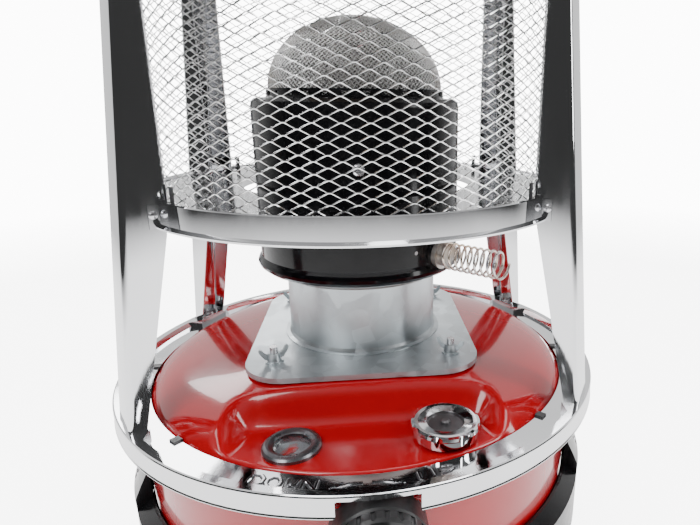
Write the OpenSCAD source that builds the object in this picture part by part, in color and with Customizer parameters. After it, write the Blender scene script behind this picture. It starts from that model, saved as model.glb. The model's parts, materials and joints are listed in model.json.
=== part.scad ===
// Portable round kerosene heater: tank and base below, guarded wick burner above.
// Millimetres, +Z up, origin on the floor under the burner's axis, front at -Y.

/* [Overall] */
// Height of the top plate above the floor
total_h = 463; // [440:1:480]
// Height of the lower chrome ring's lip above the floor
lip_z = 130; // [128:1:134]
// Height of the upper tray's lip above the floor
tray_z = 255.5; // [252:0.5:258]

/* [Lower ring] */
// Outer radius of the lower chrome ring
ring_r = 163; // [162:0.5:165]
// Radius of the ring's inner edge
ring_in_r = 142.3; // [142:0.1:144]
// Depth of the ring's outer wall
ring_wall_h = 12.5; // [11:0.5:13]

/* [Tank] */
// Outer radius of the tank's wall
tank_r = 147.5; // [146:0.5:148]
// Height of the tank's bottom above the floor
tank_z = 50; // [49:0.5:52]
// Thickness of the tank's steel sheet
tank_t = 0.8; // [0.6:0.1:1.2]
// Depth of the front shelf's floor below the lip
shelf_drop = 4.5; // [3.5:0.5:5]

/* [Burner mount] */
// Half width of the burner mount plate
plate_hx = 73; // [71:0.5:75]
// Half depth of the burner mount plate
plate_hy = 80; // [78:0.5:82]
// Corner radius of the burner mount plate
plate_cr = 26; // [22:1:30]
// Outer radius of the burner's neck
neck_r = 51; // [50:0.5:52]

/* [Burner] */
// Outer radius of the black drum
drum_r = 66.8; // [66:0.2:68]
// Height of the drum's shoulder above the floor
drum_top_z = 308; // [305:1:311]
// Radius of the mesh dome
dome_r = 55.5; // [54:0.5:57]
// Height of the mesh dome
dome_h = 45; // [42:1:52]
// Outer radius of the wire grip's coil
grip_r = 9; // [8:0.5:10]
// Number of turns in the wire grip
grip_turns = 9; // [7:1:11]

/* [Posts and guard] */
// Angle of the posts from the front and from the back
post_az = 57; // [55:1:60]
// Width of a post's web
post_w = 23; // [21:1:25]
// Radius of the guard's mesh
guard_r = 126; // [125:0.5:126.5]
// Outer radius of the upper tray
tray_r = 131.5; // [131:0.5:132.5]
// Outer radius of the top plate
top_r = 135; // [134.5:0.5:137]

/* [Controls] */
// Radius of the wick knob
knob_r = 25.6; // [24:0.2:26]
// Outer radius of the fuel cap
cap_r = 19.5; // [18:0.5:20]
// Radius of the fuel gauge's bezel
gauge_r = 16; // [15:0.5:17]

/* [Hidden] */

round_fn = 96;
small_fn = 32;
sheet = 1;
flat_z = lip_z - 4;
boss_z = lip_z + 16;
seat_z = lip_z + 63.3;
post_foot_d = 160.5;
post_lean = 0.0925;
post_t = 1;
post_top_z = total_h - 5;
post_angles = [post_az, -post_az, -180 + post_az, 180 - post_az];
knob_z = lip_z - 31.5;
knob_az = 1.8;
gauge_pos = [-40, -113.5];
cap_pos = [44, -113];
shelf_z = lip_z - shelf_drop;

// Distance of a post's outer face from the heater's axis at height z
function post_d(z) = post_foot_d - post_lean * (z - lip_z);

// Direction of an angle measured from the front (-Y) towards +X
function dir(a) = [sin(a), -cos(a)];

function smooth(lo, hi, v) =
    let (u = min(1, max(0, (v - lo) / (hi - lo)))) u * u * (3 - 2 * u);

// Places children at an angle from the front, with their +X pointing outwards
module at_az(a) rotate([0, 0, a - 90]) children();

module tube(r_out, r_in, z0, z1) {
    translate([0, 0, z0]) difference() {
        cylinder(r = r_out, h = z1 - z0, $fn = round_fn);
        translate([0, 0, -1]) cylinder(r = r_in, h = z1 - z0 + 2, $fn = round_fn);
    }
}

module revolve(points) rotate_extrude($fn = round_fn) polygon(points);

// ---- Base ----

foot_r = 118;
foot_half = 6;
foot_z = 6;
floor_t = 1.2;
bolt_angles = [45 : 90 : 315];

// Rubber ring the heater stands on
module foot_ring() color([0.06, 0.06, 0.06]) {
    revolve([
        [foot_r - foot_half, 1], [foot_r - foot_half + 1, 0], [foot_r + foot_half - 1, 0],
        [foot_r + foot_half, 1], [foot_r + foot_half, foot_z], [foot_r - foot_half, foot_z]
    ]);
    // moulded plugs that hold it in the base
    for (a = bolt_angles) at_az(a) translate([foot_r, 0, foot_z - 1]) {
        cylinder(r = 2.2, h = floor_t + 2, $fn = small_fn);
        translate([0, 0, floor_t + 1]) cylinder(r1 = 3.4, r2 = 2, h = 2.5, $fn = small_fn);
    }
}

base_r = 159;
lug_az = 16;
slot_half = 42;
slot_z0 = 27;
slot_z1 = 51;
base_rim_z = 63;

module base_tray() color([0.05, 0.05, 0.055]) difference() {
    union() {
        revolve([
            [0, foot_z], [146, foot_z], [155, 14], [base_r, 23], [base_r, 57], [150.5, base_rim_z],
            [148.7, base_rim_z], [148.7, 62.8], [157.8, 56.3], [157.8, 23.3], [154.1, 14.9],
            [145.5, foot_z + floor_t], [0, foot_z + floor_t]
        ]);
        // raised ring that locates the support ring
        tube(106.5, 104.5, foot_z + floor_t, 13);
        // lugs behind the grips
        for (a = [-90, 90], s = [-1, 1]) rotate([0, 0, a - 90 + s * lug_az - 4])
            rotate_extrude(angle = 8, $fn = round_fn)
                polygon([[148, 60], [149.3, 60], [149.3, 78], [148, 78]]);
    }
    // screw holes in the lugs
    for (a = [-90, 90], s = [-1, 1]) at_az(a + s * lug_az) translate([140, 0, 69])
        rotate([0, 90, 0]) cylinder(r = 1.7, h = 12, $fn = small_fn);
    // hand slots on the two sides
    for (s = [-1, 1]) translate([s * base_r, 0, 0]) rotate([90, 0, 90]) {
        translate([0, 0, -12]) linear_extrude(24) hull() for (u = [-1, 1], v = [0, 1])
            translate([u * (slot_half - 8), slot_z0 + 8 + v * (slot_z1 - slot_z0 - 16)])
                circle(r = 8, $fn = small_fn);
    }
    // air inlets in the floor
    for (a = [0 : 30 : 330]) at_az(a) translate([72, 0, 0]) cylinder(r = 9, h = 20, $fn = small_fn);
    for (a = bolt_angles) at_az(a) translate([foot_r, 0, 0]) cylinder(r = 2.2, h = 20, $fn = small_fn);
}

handle_span = 50;
handle_head_r = 155.6;

// Black grip that crowns the base's rim on one side, above the hand slot
module side_handle(a) color([0.05, 0.05, 0.055]) difference() {
    rotate([0, 0, a - 90 - handle_span / 2]) rotate_extrude(angle = handle_span, $fn = round_fn)
        polygon([
            [base_r, 57], [base_r + 0.2, 65], [155.5, 73], [151.6, 80.5], [150.2, 82],
            [149.3, 82], [149.3, base_rim_z], [150.5, base_rim_z]
        ]);
    for (s = [-1, 1]) at_az(a + s * lug_az) translate([140, 0, 69]) rotate([0, 90, 0]) {
        cylinder(r = 1.7, h = 30, $fn = small_fn);
        translate([0, 0, handle_head_r - 140]) cylinder(r = 3.6, h = 10, $fn = small_fn);
    }
}

module side_handle_right() side_handle(90);
module side_handle_left() side_handle(-90);

module handle_screws() color([0.75, 0.75, 0.77]) {
    for (a = [-90, 90], s = [-1, 1]) at_az(a + s * lug_az) translate([handle_head_r, 0, 69])
        rotate([0, 90, 0]) pan_screw(7.4, 1.6, 3.2);
}

support_r = 104.2;

// Pressed steel hoop that carries the tank above the base's floor
module support_ring() color([0.6, 0.61, 0.63]) difference() {
    union() {
        tube(support_r, support_r - sheet, foot_z + floor_t, tank_z);
        tube(support_r, 92, tank_z - sheet, tank_z);
    }
    for (a = [0 : 30 : 330]) at_az(a) translate([92, 0, 34]) rotate([0, 90, 0])
        cylinder(r = 8, h = 20, $fn = small_fn);
    for (a = bolt_angles) at_az(a) translate([97, 0, 40]) cylinder(r = 2.2, h = 20, $fn = small_fn);
}

module base_bolts() color([0.72, 0.73, 0.75]) {
    for (a = bolt_angles) at_az(a) translate([97, 0, 0]) {
        translate([0, 0, tank_z - sheet - 4]) cylinder(r = 4, h = 4, $fn = 6);
        translate([0, 0, tank_z - 1.4]) cylinder(r = 2, h = 1.4, $fn = small_fn);
    }
}

// ---- Tank ----

bowl_cr = 12;
seam_z = lip_z - 15;
air_tube_r = 29.5;

module tank_bowl() color([0.78, 0.06, 0.06]) difference() {
    rotate_extrude($fn = round_fn) difference() {
        union() {
            translate([0, tank_z]) square([tank_r - bowl_cr, bowl_cr * 2]);
            translate([0, tank_z + bowl_cr]) square([tank_r, seam_z - tank_z - bowl_cr]);
            translate([tank_r - bowl_cr, tank_z + bowl_cr]) circle(r = bowl_cr, $fn = round_fn);
            translate([tank_r - 1, seam_z - tank_t]) square([5, tank_t]);
        }
        translate([air_tube_r + 0.01, tank_z + tank_t])
            square([tank_r - bowl_cr - air_tube_r, seam_z]);
        translate([air_tube_r, tank_z + bowl_cr])
            square([tank_r - tank_t - air_tube_r, seam_z]);
        translate([tank_r - bowl_cr, tank_z + bowl_cr])
            circle(r = bowl_cr - tank_t, $fn = round_fn);
        square([air_tube_r, seam_z]);
    }
    // hole for the sealed tunnel of the wick shaft
    on_shaft(-tank_r + 10) cylinder(r = tunnel_r, h = 20, $fn = small_fn);
}

top_rings = 12;
top_spokes = 96;
boss_inset = 3;
recess_half = 60;
recess_flare = 0.28;
recess_wall = 16;
shoulder_r = 143.8;
fall_slope = 12.5;

// Radius of the square boss's edge in the direction a
function boss_edge(a) =
    let (
        hx = plate_hx - boss_inset, hy = plate_hy - boss_inset,
        e = 5, c = abs(sin(a)) / hx, s = abs(cos(a)) / hy
    ) 1 / pow(pow(c, e) + pow(s, e), 1 / e);

// Height of the tank's domed top at radius r in the direction a: a slope, then a round shoulder
function dome_z(r, a) =
    let (
        rb = boss_edge(a),
        s = min(1, max(0, (r - rb) / (shoulder_r - rb))),
        t = min(1, max(0, (r - 70) / (shoulder_r - 70))),
        drop = boss_z - seam_z - tank_t
    ) boss_z - fall_slope * s - (drop - fall_slope) * (1 - sqrt(1 - pow(t, 8)));

// How far a point lies inside the front recess, 0 to 1
function recess(x, y) =
    let (side = recess_half + recess_flare * max(0, -y - 80))
    (1 - smooth(side, side + recess_wall, abs(x))) * smooth(plate_hy + 2, plate_hy + 17, -y);

function shelf_at(r) = shelf_z - (shelf_z - seam_z - tank_t) * smooth(138.5, shoulder_r, r);

function top_z(r, a) =
    let (
        d = dir(a) * r, w = recess(d[0], d[1]), z = dome_z(r, a)
    ) z + (min(z, shelf_at(r)) - z) * w;

top_hole_r = 40;

function top_ring_r(i, a) =
    let (rb = boss_edge(a) - 2)
    i == 0 ? top_hole_r : rb + (shoulder_r - rb) * (1 - pow(1 - (i - 1) / (top_rings - 1), 1.5));

module tank_top_shell() {
    n = top_spokes;
    m = top_rings + 1;
    pts = [
        for (layer = [0, 1], i = [0 : m - 1], k = [0 : n - 1])
            let (a = k * 360 / n, r = top_ring_r(i, a), d = dir(a) * r)
            [d[0], d[1], top_z(r, a) - layer * tank_t]
    ];
    function id(l, i, k) = l * m * n + i * n + (k % n);
    faces = concat(
        [for (i = [0 : m - 2], k = [0 : n - 1]) [id(0, i, k), id(0, i, k + 1), id(0, i + 1, k + 1)]],
        [for (i = [0 : m - 2], k = [0 : n - 1]) [id(0, i, k), id(0, i + 1, k + 1), id(0, i + 1, k)]],
        [for (i = [0 : m - 2], k = [0 : n - 1]) [id(1, i, k), id(1, i + 1, k + 1), id(1, i, k + 1)]],
        [for (i = [0 : m - 2], k = [0 : n - 1]) [id(1, i, k), id(1, i + 1, k), id(1, i + 1, k + 1)]],
        [for (k = [0 : n - 1]) [id(0, 0, k), id(1, 0, k + 1), id(0, 0, k + 1)]],
        [for (k = [0 : n - 1]) [id(0, 0, k), id(1, 0, k), id(1, 0, k + 1)]],
        [for (k = [0 : n - 1]) [id(0, m - 1, k), id(0, m - 1, k + 1), id(1, m - 1, k + 1)]],
        [for (k = [0 : n - 1]) [id(0, m - 1, k), id(1, m - 1, k + 1), id(1, m - 1, k)]]
    );
    polyhedron(points = pts, faces = faces, convexity = 6);
}

module tank_top() color([0.78, 0.06, 0.06]) difference() {
    union() {
        tank_top_shell();
        // seam flange that laps the bowl's flange
        tube(tank_r + 4, shoulder_r - 0.6, seam_z, seam_z + tank_t);
    }
    translate([gauge_pos[0], gauge_pos[1], 100]) cylinder(r = gauge_well_r, h = 60, $fn = small_fn);
    translate([cap_pos[0], cap_pos[1], 100]) cylinder(r = filler_r + 0.25, h = 60, $fn = small_fn);
    for (x = [-1, 1], y = [-1, 1])
        translate([x * stud_x, y * stud_y, 130]) cylinder(r = stud_r, h = 40, $fn = small_fn);
}

// ---- Lower ring and posts ----

notch_half = 20.5;

module lower_ring() color([0.82, 0.83, 0.85]) difference() {
    union() {
        revolve([
            [ring_in_r, flat_z], [156.2, flat_z], [157.4, lip_z], [ring_r - 1, lip_z],
            [ring_r - 0.3, lip_z - 0.3], [ring_r, lip_z - 1], [ring_r, lip_z - 11.2],
            [ring_r + 0.4, lip_z - 12], [ring_r + 0.3, lip_z - ring_wall_h],
            [ring_r - 0.6, lip_z - ring_wall_h], [ring_r - 1, lip_z - 11.4],
            [ring_r - 1, lip_z - sheet], [158.2, lip_z - sheet], [157, flat_z - sheet],
            [150.5, flat_z - sheet], [150.5, seam_z + tank_t], [149.5, seam_z + tank_t],
            [149.5, flat_z - sheet], [ring_in_r, flat_z - sheet]
        ]);
        // raised pads that carry the posts
        for (a = post_angles) at_az(a) translate([0, 0, flat_z - sheet])
            linear_extrude(lip_z - flat_z + sheet)
                polygon([[150.2, -13], [158, -25], [158, 25], [150.2, 13]]);
    }
    // notch for the wick knob's housing
    rotate([0, 0, knob_az]) translate([-notch_half, -ring_r - 5, lip_z - 20]) {
        cube([2 * notch_half, 15, 17]);
        cube([2 * notch_half, 30, 14.8]);
    }
    for (a = post_angles) at_az(a) translate([foot_screw_r, 0, flat_z - 5])
        cylinder(r = 1.9, h = 20, $fn = small_fn);
}

clip_angles = [46, 78, 88, 134, 180, -134, -88, -78, -46];

// Small dark clips that hold the ring's inner edge to the tank
module ring_clips() color([0.12, 0.12, 0.13]) {
    for (a = clip_angles) at_az(a) {
        translate([ring_in_r - 0.9, -2.5, flat_z - 0.8]) cube([0.7, 5, 1.9]);
        translate([ring_in_r - 0.9, -2.5, flat_z]) cube([5, 5, 1.1]);
    }
}

post_depth_foot = 9.5;
post_depth_mid = 23;
post_depth_top = 4;
post_mid_z = lip_z + 117;
foot_screw_r = 155.5;
top_screw_r = 122;

module post(a) color([0.8, 0.81, 0.83]) at_az(a) {
    d0 = post_d(lip_z);
    dm = post_d(post_mid_z);
    d1 = post_d(post_top_z);
    difference() {
        union() {
            // web
            translate([0, post_w / 2, 0]) rotate([90, 0, 0]) linear_extrude(post_w) polygon([
                [d0, lip_z], [d1, post_top_z], [d1 - post_t, post_top_z], [d0 - post_t, lip_z]
            ]);
            // two flanges that are deepest at the upper tray
            for (s = [0, 1]) translate([0, post_w / 2 - s * (post_w - post_t), 0]) rotate([90, 0, 0])
                linear_extrude(post_t) polygon([
                    [d0, lip_z], [dm, post_mid_z], [d1, post_top_z],
                    [d1 - post_depth_top, post_top_z], [dm - post_depth_mid, post_mid_z + 9],
                    [dm - post_depth_mid, post_mid_z - 5], [d0 - post_depth_foot, lip_z]
                ]);
            // foot tab and top tab
            translate([d0 - post_depth_foot, 0.5 - post_w / 2, lip_z])
                cube([post_depth_foot - 0.5, post_w - 1, post_t]);
            translate([top_screw_r - 7, 0.5 - post_w / 2, post_top_z - post_t])
                cube([d1 - top_screw_r + 6.6, post_w - 1, post_t]);
        }
        translate([foot_screw_r, 0, lip_z - 5]) cylinder(r = 1.9, h = 20, $fn = small_fn);
        translate([top_screw_r, 0, post_top_z - 10]) cylinder(r = 1.9, h = 20, $fn = small_fn);
    }
}

module post_front_right() post(post_angles[0]);
module post_front_left() post(post_angles[1]);
module post_rear_left() post(post_angles[2]);
module post_rear_right() post(post_angles[3]);

// Pan-head screw along +Z with its head's underside at the origin
module pan_screw(length, shank_r = 1.8, head_r = 3.4) {
    translate([0, 0, -length]) cylinder(r = shank_r, h = length, $fn = small_fn);
    difference() {
        rotate_extrude($fn = small_fn) polygon([
            [0, 0], [head_r, 0], [head_r, 0.8], [head_r - 0.5, 1.5], [head_r - 1.4, 1.9], [0, 2]
        ]);
        translate([-head_r * 0.6, -0.4, 1.1]) cube([head_r * 1.2, 0.8, 2]);
        translate([-0.4, -head_r * 0.6, 1.1]) cube([0.8, head_r * 1.2, 2]);
    }
}

module post_foot_screws() color([0.75, 0.75, 0.78]) {
    for (a = post_angles) at_az(a) translate([foot_screw_r, 0, lip_z + post_t]) pan_screw(7);
}

// ---- Upper tray and guard ----

tray_hole_r = 76;
tray_top_z = tray_z - 1.5;
tray_wall_z = tray_z - 12;
slot_w = post_w;

module upper_tray() color([0.84, 0.85, 0.87]) {
    difference() {
        revolve([
            [tray_hole_r, tray_top_z], [129.2, tray_top_z], [129.8, tray_z], [tray_r - 0.5, tray_z],
            [tray_r, tray_z - 0.6], [tray_r, tray_wall_z], [tray_r + 2.2, tray_wall_z - 1.4],
            [tray_r + 2, tray_wall_z - 2.4], [tray_r - 1, tray_wall_z - 0.6], [tray_r - 1, tray_z - sheet],
            [130.5, tray_z - sheet], [129.9, tray_top_z - sheet],
            [tray_hole_r + 1, tray_top_z - sheet], [tray_hole_r + 1, tray_top_z - 4],
            [tray_hole_r, tray_top_z - 4]
        ]);
        for (a = post_angles) at_az(a) translate([tray_r - 7, -slot_w / 2, tray_wall_z - 10])
            cube([30, slot_w, 40]);
    }
    // folded ears on both sides of each post
    for (a = post_angles, s = [-1, 1]) at_az(a) translate([tray_r - 7.6, s * (slot_w / 2 + 0.5), 0]) {
        translate([0, -0.5, tray_wall_z - 2.4]) cube([12.4, 1, tray_top_z - tray_wall_z + 2.4]);
    }
    // short back wall of each slot, behind the post's flanges
    for (a = post_angles) at_az(a) translate([tray_r - 8, -slot_w / 2 - 0.5, tray_top_z - 8])
        difference() {
            cube([1, slot_w + 1, 8]);
            translate([-1, slot_w / 2 + 0.5, 3]) rotate([0, 90, 0])
                cylinder(r = 1.9, h = 4, $fn = small_fn);
        }
}

// Screws that tie the tray's ears to the posts' flanges
module tray_screws() color([0.75, 0.75, 0.78]) {
    for (a = post_angles, s = [-1, 1]) at_az(a)
        translate([tray_r + 2.4, s * (slot_w / 2 + 1), tray_z - 7]) rotate([-s * 90, 0, 0])
            rotate_extrude($fn = small_fn) polygon([[0, 0], [2.3, 0], [1.9, 1.1], [0, 1.5]]);
}

guard_t = 0.6;
guard_top_z = total_h - 9;

module mesh_guard() color([0.8, 0.82, 0.84, 0.5])
    tube(guard_r, guard_r - guard_t, tray_top_z, guard_top_z);

module guard_clips() color([0.1, 0.1, 0.11]) {
    for (a = post_angles, s = [-1, 1]) at_az(a + s * 8) {
        translate([guard_r, -1.5, tray_top_z]) cube([1, 3, 9]);
        translate([guard_r, -1.5, tray_top_z]) cube([3, 3, 0.8]);
    }
}

pot_r = 62;

module top_plate() color([0.83, 0.84, 0.86]) difference() {
    revolve([
        [0, total_h], [pot_r, total_h], [pot_r + 5, post_top_z + sheet],
        [92, post_top_z + sheet], [94, post_top_z + 3.4], [98, post_top_z + 3.4],
        [100, post_top_z + sheet], [top_r - 1.5, post_top_z + sheet], [top_r, post_top_z],
        [top_r, post_top_z - 11],
        [top_r + 1, post_top_z - 12], [top_r + 1, post_top_z - 13], [top_r - 1, post_top_z - 12],
        [top_r - 1, post_top_z], [100, post_top_z],
        [98, post_top_z + 2.4], [94, post_top_z + 2.4], [92, post_top_z],
        [pot_r + 4, post_top_z], [pot_r - 1, total_h - sheet], [0, total_h - sheet]
    ]);
    for (a = post_angles) at_az(a) translate([top_screw_r, 0, post_top_z - 10])
        cylinder(r = 1.9, h = 30, $fn = small_fn);
    // heat vents between the posts
    for (a = [0 : 10 : 350]) if (a % 30 != 0) at_az(a) translate([114, 0, post_top_z - 5])
        cylinder(r = 4, h = 12, $fn = small_fn);
    for (a = bolt_angles) at_az(a) translate([spacer_r, 0, post_top_z - 10])
        cylinder(r = 1.7, h = 30, $fn = small_fn);
}

module top_screws() color([0.75, 0.75, 0.78]) {
    for (a = post_angles) at_az(a) translate([top_screw_r, 0, post_top_z + sheet]) pan_screw(6);
    for (a = bolt_angles) at_az(a) translate([spacer_r, 0, post_top_z + sheet]) pan_screw(6, 1.6, 3);
}

spacer_r = 80;
shield_z = post_top_z - 20;

module heat_shield() color([0.66, 0.66, 0.68]) difference() {
    revolve([
        [0, shield_z - 6], [40, shield_z - 6], [58, shield_z], [94, shield_z], [97, shield_z + 3],
        [96, shield_z + 3.6], [93.4, shield_z + sheet], [57.6, shield_z + sheet],
        [39.6, shield_z - 6 + sheet], [0, shield_z - 6 + sheet]
    ]);
    for (a = bolt_angles) at_az(a) translate([spacer_r, 0, shield_z - 5])
        cylinder(r = 1.7, h = 20, $fn = small_fn);
}

module shield_spacers() color([0.7, 0.71, 0.73]) {
    for (a = bolt_angles) at_az(a) translate([spacer_r, 0, 0]) {
        tube(4, 1.7, shield_z + sheet, post_top_z);
        translate([0, 0, shield_z - 2]) cylinder(r = 3.6, h = 2, $fn = 6);
        translate([0, 0, shield_z - 0.5]) cylinder(r = 1.65, h = 3, $fn = small_fn);
    }
}

// ---- Burner mount ----

stud_x = 55.5;
stud_y = 56;
stud_r = 2.4;
gasket_t = 2.5;
plate_z = boss_z + gasket_t;
plate_t = 1.2;

module rounded_plate(hx, hy, r, h) {
    linear_extrude(h) {
        square([2 * hx - 2 * r, 2 * hy], center = true);
        square([2 * hx, 2 * hy - 2 * r], center = true);
        for (x = [-1, 1], y = [-1, 1]) translate([x * (hx - r), y * (hy - r)])
            circle(r = r, $fn = round_fn);
    }
}

module stud_holes(r) {
    for (x = [-1, 1], y = [-1, 1]) translate([x * stud_x, y * stud_y, 120])
        cylinder(r = r, h = 60, $fn = small_fn);
}

module mount_gasket() color([0.2, 0.2, 0.21]) difference() {
    translate([0, 0, boss_z]) rounded_plate(plate_hx - 4.5, plate_hy - 4.5, plate_cr - 4, gasket_t);
    translate([0, 0, 120]) cylinder(r = neck_r + 2, h = 60, $fn = round_fn);
    stud_holes(stud_r + 0.1);
}

module mount_plate() color([0.62, 0.66, 0.68]) difference() {
    union() {
        translate([0, 0, plate_z]) rounded_plate(plate_hx, plate_hy, plate_cr, plate_t);
        // rolled edge turned down around the gasket
        translate([0, 0, plate_z - 2.2]) difference() {
            rounded_plate(plate_hx, plate_hy, plate_cr, 3);
            translate([0, 0, -1]) rounded_plate(plate_hx - 1.4, plate_hy - 1.4, plate_cr - 1.4, 5);
        }
    }
    translate([0, 0, 120]) cylinder(r = neck_r - 5, h = 60, $fn = round_fn);
    stud_holes(stud_r + 0.3);
}

module burner_neck() color([0.66, 0.69, 0.71]) {
    z0 = plate_z + plate_t;
    revolve([
        [neck_r - 1, seat_z], [neck_r, seat_z], [neck_r, z0 + 3.2], [neck_r + 0.8, z0 + 1.2],
        [neck_r + 3.5, z0 + 0.6], [neck_r + 3.5, z0], [neck_r - 1, z0]
    ]);
    // inner collar that carries the outer wick tube
    revolve([
        [neck_r - 1, z0 + 20], [neck_r - 1, z0 + 21], [36.4, z0 + 12], [36.4, z0 + 6],
        [37.4, z0 + 6], [37.4, z0 + 11]
    ]);
}

module mount_studs() color([0.7, 0.71, 0.73]) {
    for (x = [-1, 1], y = [-1, 1]) translate([x * stud_x, y * stud_y, 0]) {
        translate([0, 0, boss_z - tank_t]) cylinder(r = stud_r, h = 14.5, $fn = small_fn);
        translate([0, 0, boss_z - tank_t - 2.5]) cylinder(r = 5, h = 2.5, $fn = small_fn);
    }
}

wing_turns = [25, -30, 40, -15];

wing_shape = [
    [0.3, 0.4], [2.6, 1], [5.6, 5], [6.2, 7], [5.4, 8.2], [4, 7.6], [2.6, 5.2], [0.3, 3.8]
];

module wing_nut() difference() {
    union() {
        cylinder(r = 5.6, h = 1, $fn = small_fn);
        translate([0, 0, 0.5]) cylinder(r1 = 4.4, r2 = 3.6, h = 5.6, $fn = small_fn);
        for (s = [0, 180]) rotate([0, 0, s]) translate([3.2, 0.9, 1.6]) rotate([90, 0, 0])
            linear_extrude(1.8) polygon(wing_shape);
    }
    translate([0, 0, -1]) cylinder(r = stud_r + 0.05, h = 12, $fn = small_fn);
}

module wing_nuts() color([0.78, 0.79, 0.8]) {
    for (i = [0 : 3]) {
        x = i % 2 == 0 ? -1 : 1;
        y = i < 2 ? -1 : 1;
        translate([x * stud_x, y * stud_y, plate_z + plate_t]) rotate([0, 0, wing_turns[i]]) wing_nut();
    }
}

// ---- Wick tubes ----

module wick_inner_tube() color([0.6, 0.62, 0.64])
    tube(air_tube_r, air_tube_r - 1, tank_z - 2, seat_z + 1.5);

module wick_outer_tube() color([0.6, 0.62, 0.64])
    tube(36.4, 35.4, lip_z - 12, seat_z);

// ---- Burner, which lifts as one ----

flame_r = 46.5;
core_r = 27.8;
pin_z = seat_z + 24;
pin_angles = [30 : 120 : 270];

module cross_pins_shape(r_in, r_out) {
    for (a = pin_angles) at_az(a) translate([r_in, 0, pin_z]) rotate([0, 90, 0])
        cylinder(r = 1.2, h = r_out - r_in, $fn = small_fn);
}

module air_ring() color([0.72, 0.72, 0.7]) difference() {
    revolve([
        [flame_r - 0.8, seat_z + 0.3], [neck_r + 2.6, seat_z + 0.3], [neck_r + 5.6, seat_z + 3.2],
        [neck_r + 5.6, seat_z + 4], [neck_r + 2.2, seat_z + 1.3], [flame_r - 0.8, seat_z + 1.3]
    ]);
    for (a = [0 : 10 : 350]) at_az(a) translate([neck_r - 0.2, 0, seat_z])
        cylinder(r = 1, h = 3, $fn = small_fn);
}

bead_z = lip_z + 74;

module drum_wall() difference() {
    revolve([
        [neck_r + 5.6, seat_z + 3.2], [neck_r + 9, seat_z + 3.6], [neck_r + 14.5, seat_z + 6],
        [drum_r + 1.6, bead_z - 2.2], [drum_r + 2.4, bead_z], [drum_r + 1.4, bead_z + 2.4],
        [drum_r, bead_z + 4.4], [drum_r, drum_top_z - 5],
        [drum_r - 1.2, drum_top_z - 5], [drum_r - 1.2, bead_z + 4.8], [drum_r + 0.4, bead_z + 1.8],
        [drum_r + 1.2, bead_z], [drum_r + 0.6, bead_z - 1.4], [neck_r + 13.8, seat_z + 7],
        [neck_r + 8.7, seat_z + 4.6], [neck_r + 5.6, seat_z + 4.2]
    ]);
    cross_pins_shape(drum_r - 8, drum_r + 8);
    for (a = [0, 120, 240]) at_az(a) translate([drum_r - 5, 0, lip_z + 139]) rotate([0, 90, 0])
        cylinder(r = 1.7, h = 10, $fn = small_fn);
}

module drum_shoulder() difference() {
    revolve([
        [drum_r, drum_top_z - 5.2], [drum_r - 0.6, drum_top_z - 2.4], [drum_r - 2.4, drum_top_z - 0.6],
        [drum_r - 5, drum_top_z], [dome_r + 2.2, drum_top_z], [dome_r + 1.2, drum_top_z + 0.8],
        [dome_r + 1.2, drum_top_z + 5], [dome_r, drum_top_z + 5],
        [dome_r, drum_top_z - 1.2], [drum_r - 5.2, drum_top_z - 1.2],
        [drum_r - 1.2, drum_top_z - 5.2]
    ]);
    // row of slots around the dome's seat
    for (a = [6 : 12 : 354]) at_az(a) translate([dome_r - 2, -2, drum_top_z + 1.4])
        cube([8, 4, 2.4]);
}

module outer_flame_tube() color([0.45, 0.42, 0.4]) difference() {
    tube(flame_r, flame_r - 0.8, seat_z + 1.3, drum_top_z - 6);
    cross_pins_shape(flame_r - 6, flame_r + 6);
}

module inner_flame_tube() color([0.45, 0.42, 0.4]) difference() {
    tube(core_r, core_r - 0.8, seat_z + 1.9, spreader_z);
    cross_pins_shape(core_r - 6, core_r + 6);
}

spreader_z = drum_top_z - 22;

module flame_spreader() color([0.4, 0.38, 0.37]) revolve([
    [0, spreader_z], [32, spreader_z], [42, spreader_z + 8], [42, spreader_z + 9],
    [31.6, spreader_z + 1], [0, spreader_z + 1]
]);

// Pins that tie the flame tubes and the drum together
module cross_pins() color([0.5, 0.49, 0.48]) cross_pins_shape(core_r - 2, drum_r - 0.1);

module burner_drum() color([0.03, 0.03, 0.035]) {
    drum_wall();
    drum_shoulder();
}

module mesh_dome() color([0.55, 0.54, 0.53]) {
    z0 = drum_top_z + 5;
    steps = 14;
    outer = [for (i = [0 : steps]) let (t = i * 90 / steps) [dome_r * cos(t), z0 + dome_h * sin(t)]];
    inner = [for (i = [steps : -1 : 0]) let (t = i * 90 / steps)
        [(dome_r - 1) * cos(t), z0 + (dome_h - 1) * sin(t)]];
    revolve(concat([[dome_r, z0 - 6]], outer, inner, [[dome_r - 1, z0 - 6]]));
}

module drum_screws() color([0.75, 0.75, 0.77]) {
    for (a = [0, 120, 240]) at_az(a) translate([drum_r, 0, lip_z + 139]) rotate([0, 90, 0])
        pan_screw(4, 1.6, 3.6);
}

grip_az = 48;
grip_z = lip_z + 83;
grip_start = drum_r + 3.4;
grip_len = 42;
grip_droop = 0.5;
grip_wire = 0.8;
grip_sides = 6;
grip_steps = 18;

// Points of one ring of the wire at step i along the coil
function grip_ring(i) =
    let (
        t = i / (grip_turns * grip_steps), a = i * 360 / grip_steps,
        axis = [grip_start + grip_len * t, 0, grip_z - grip_droop * t],
        out = [0, cos(a), sin(a)],
        mid = axis + out * (grip_r - grip_wire)
    ) [for (k = [0 : grip_sides - 1]) let (b = k * 360 / grip_sides)
        mid + out * grip_wire * cos(b) + [1, 0, 0] * grip_wire * sin(b)];

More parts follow.
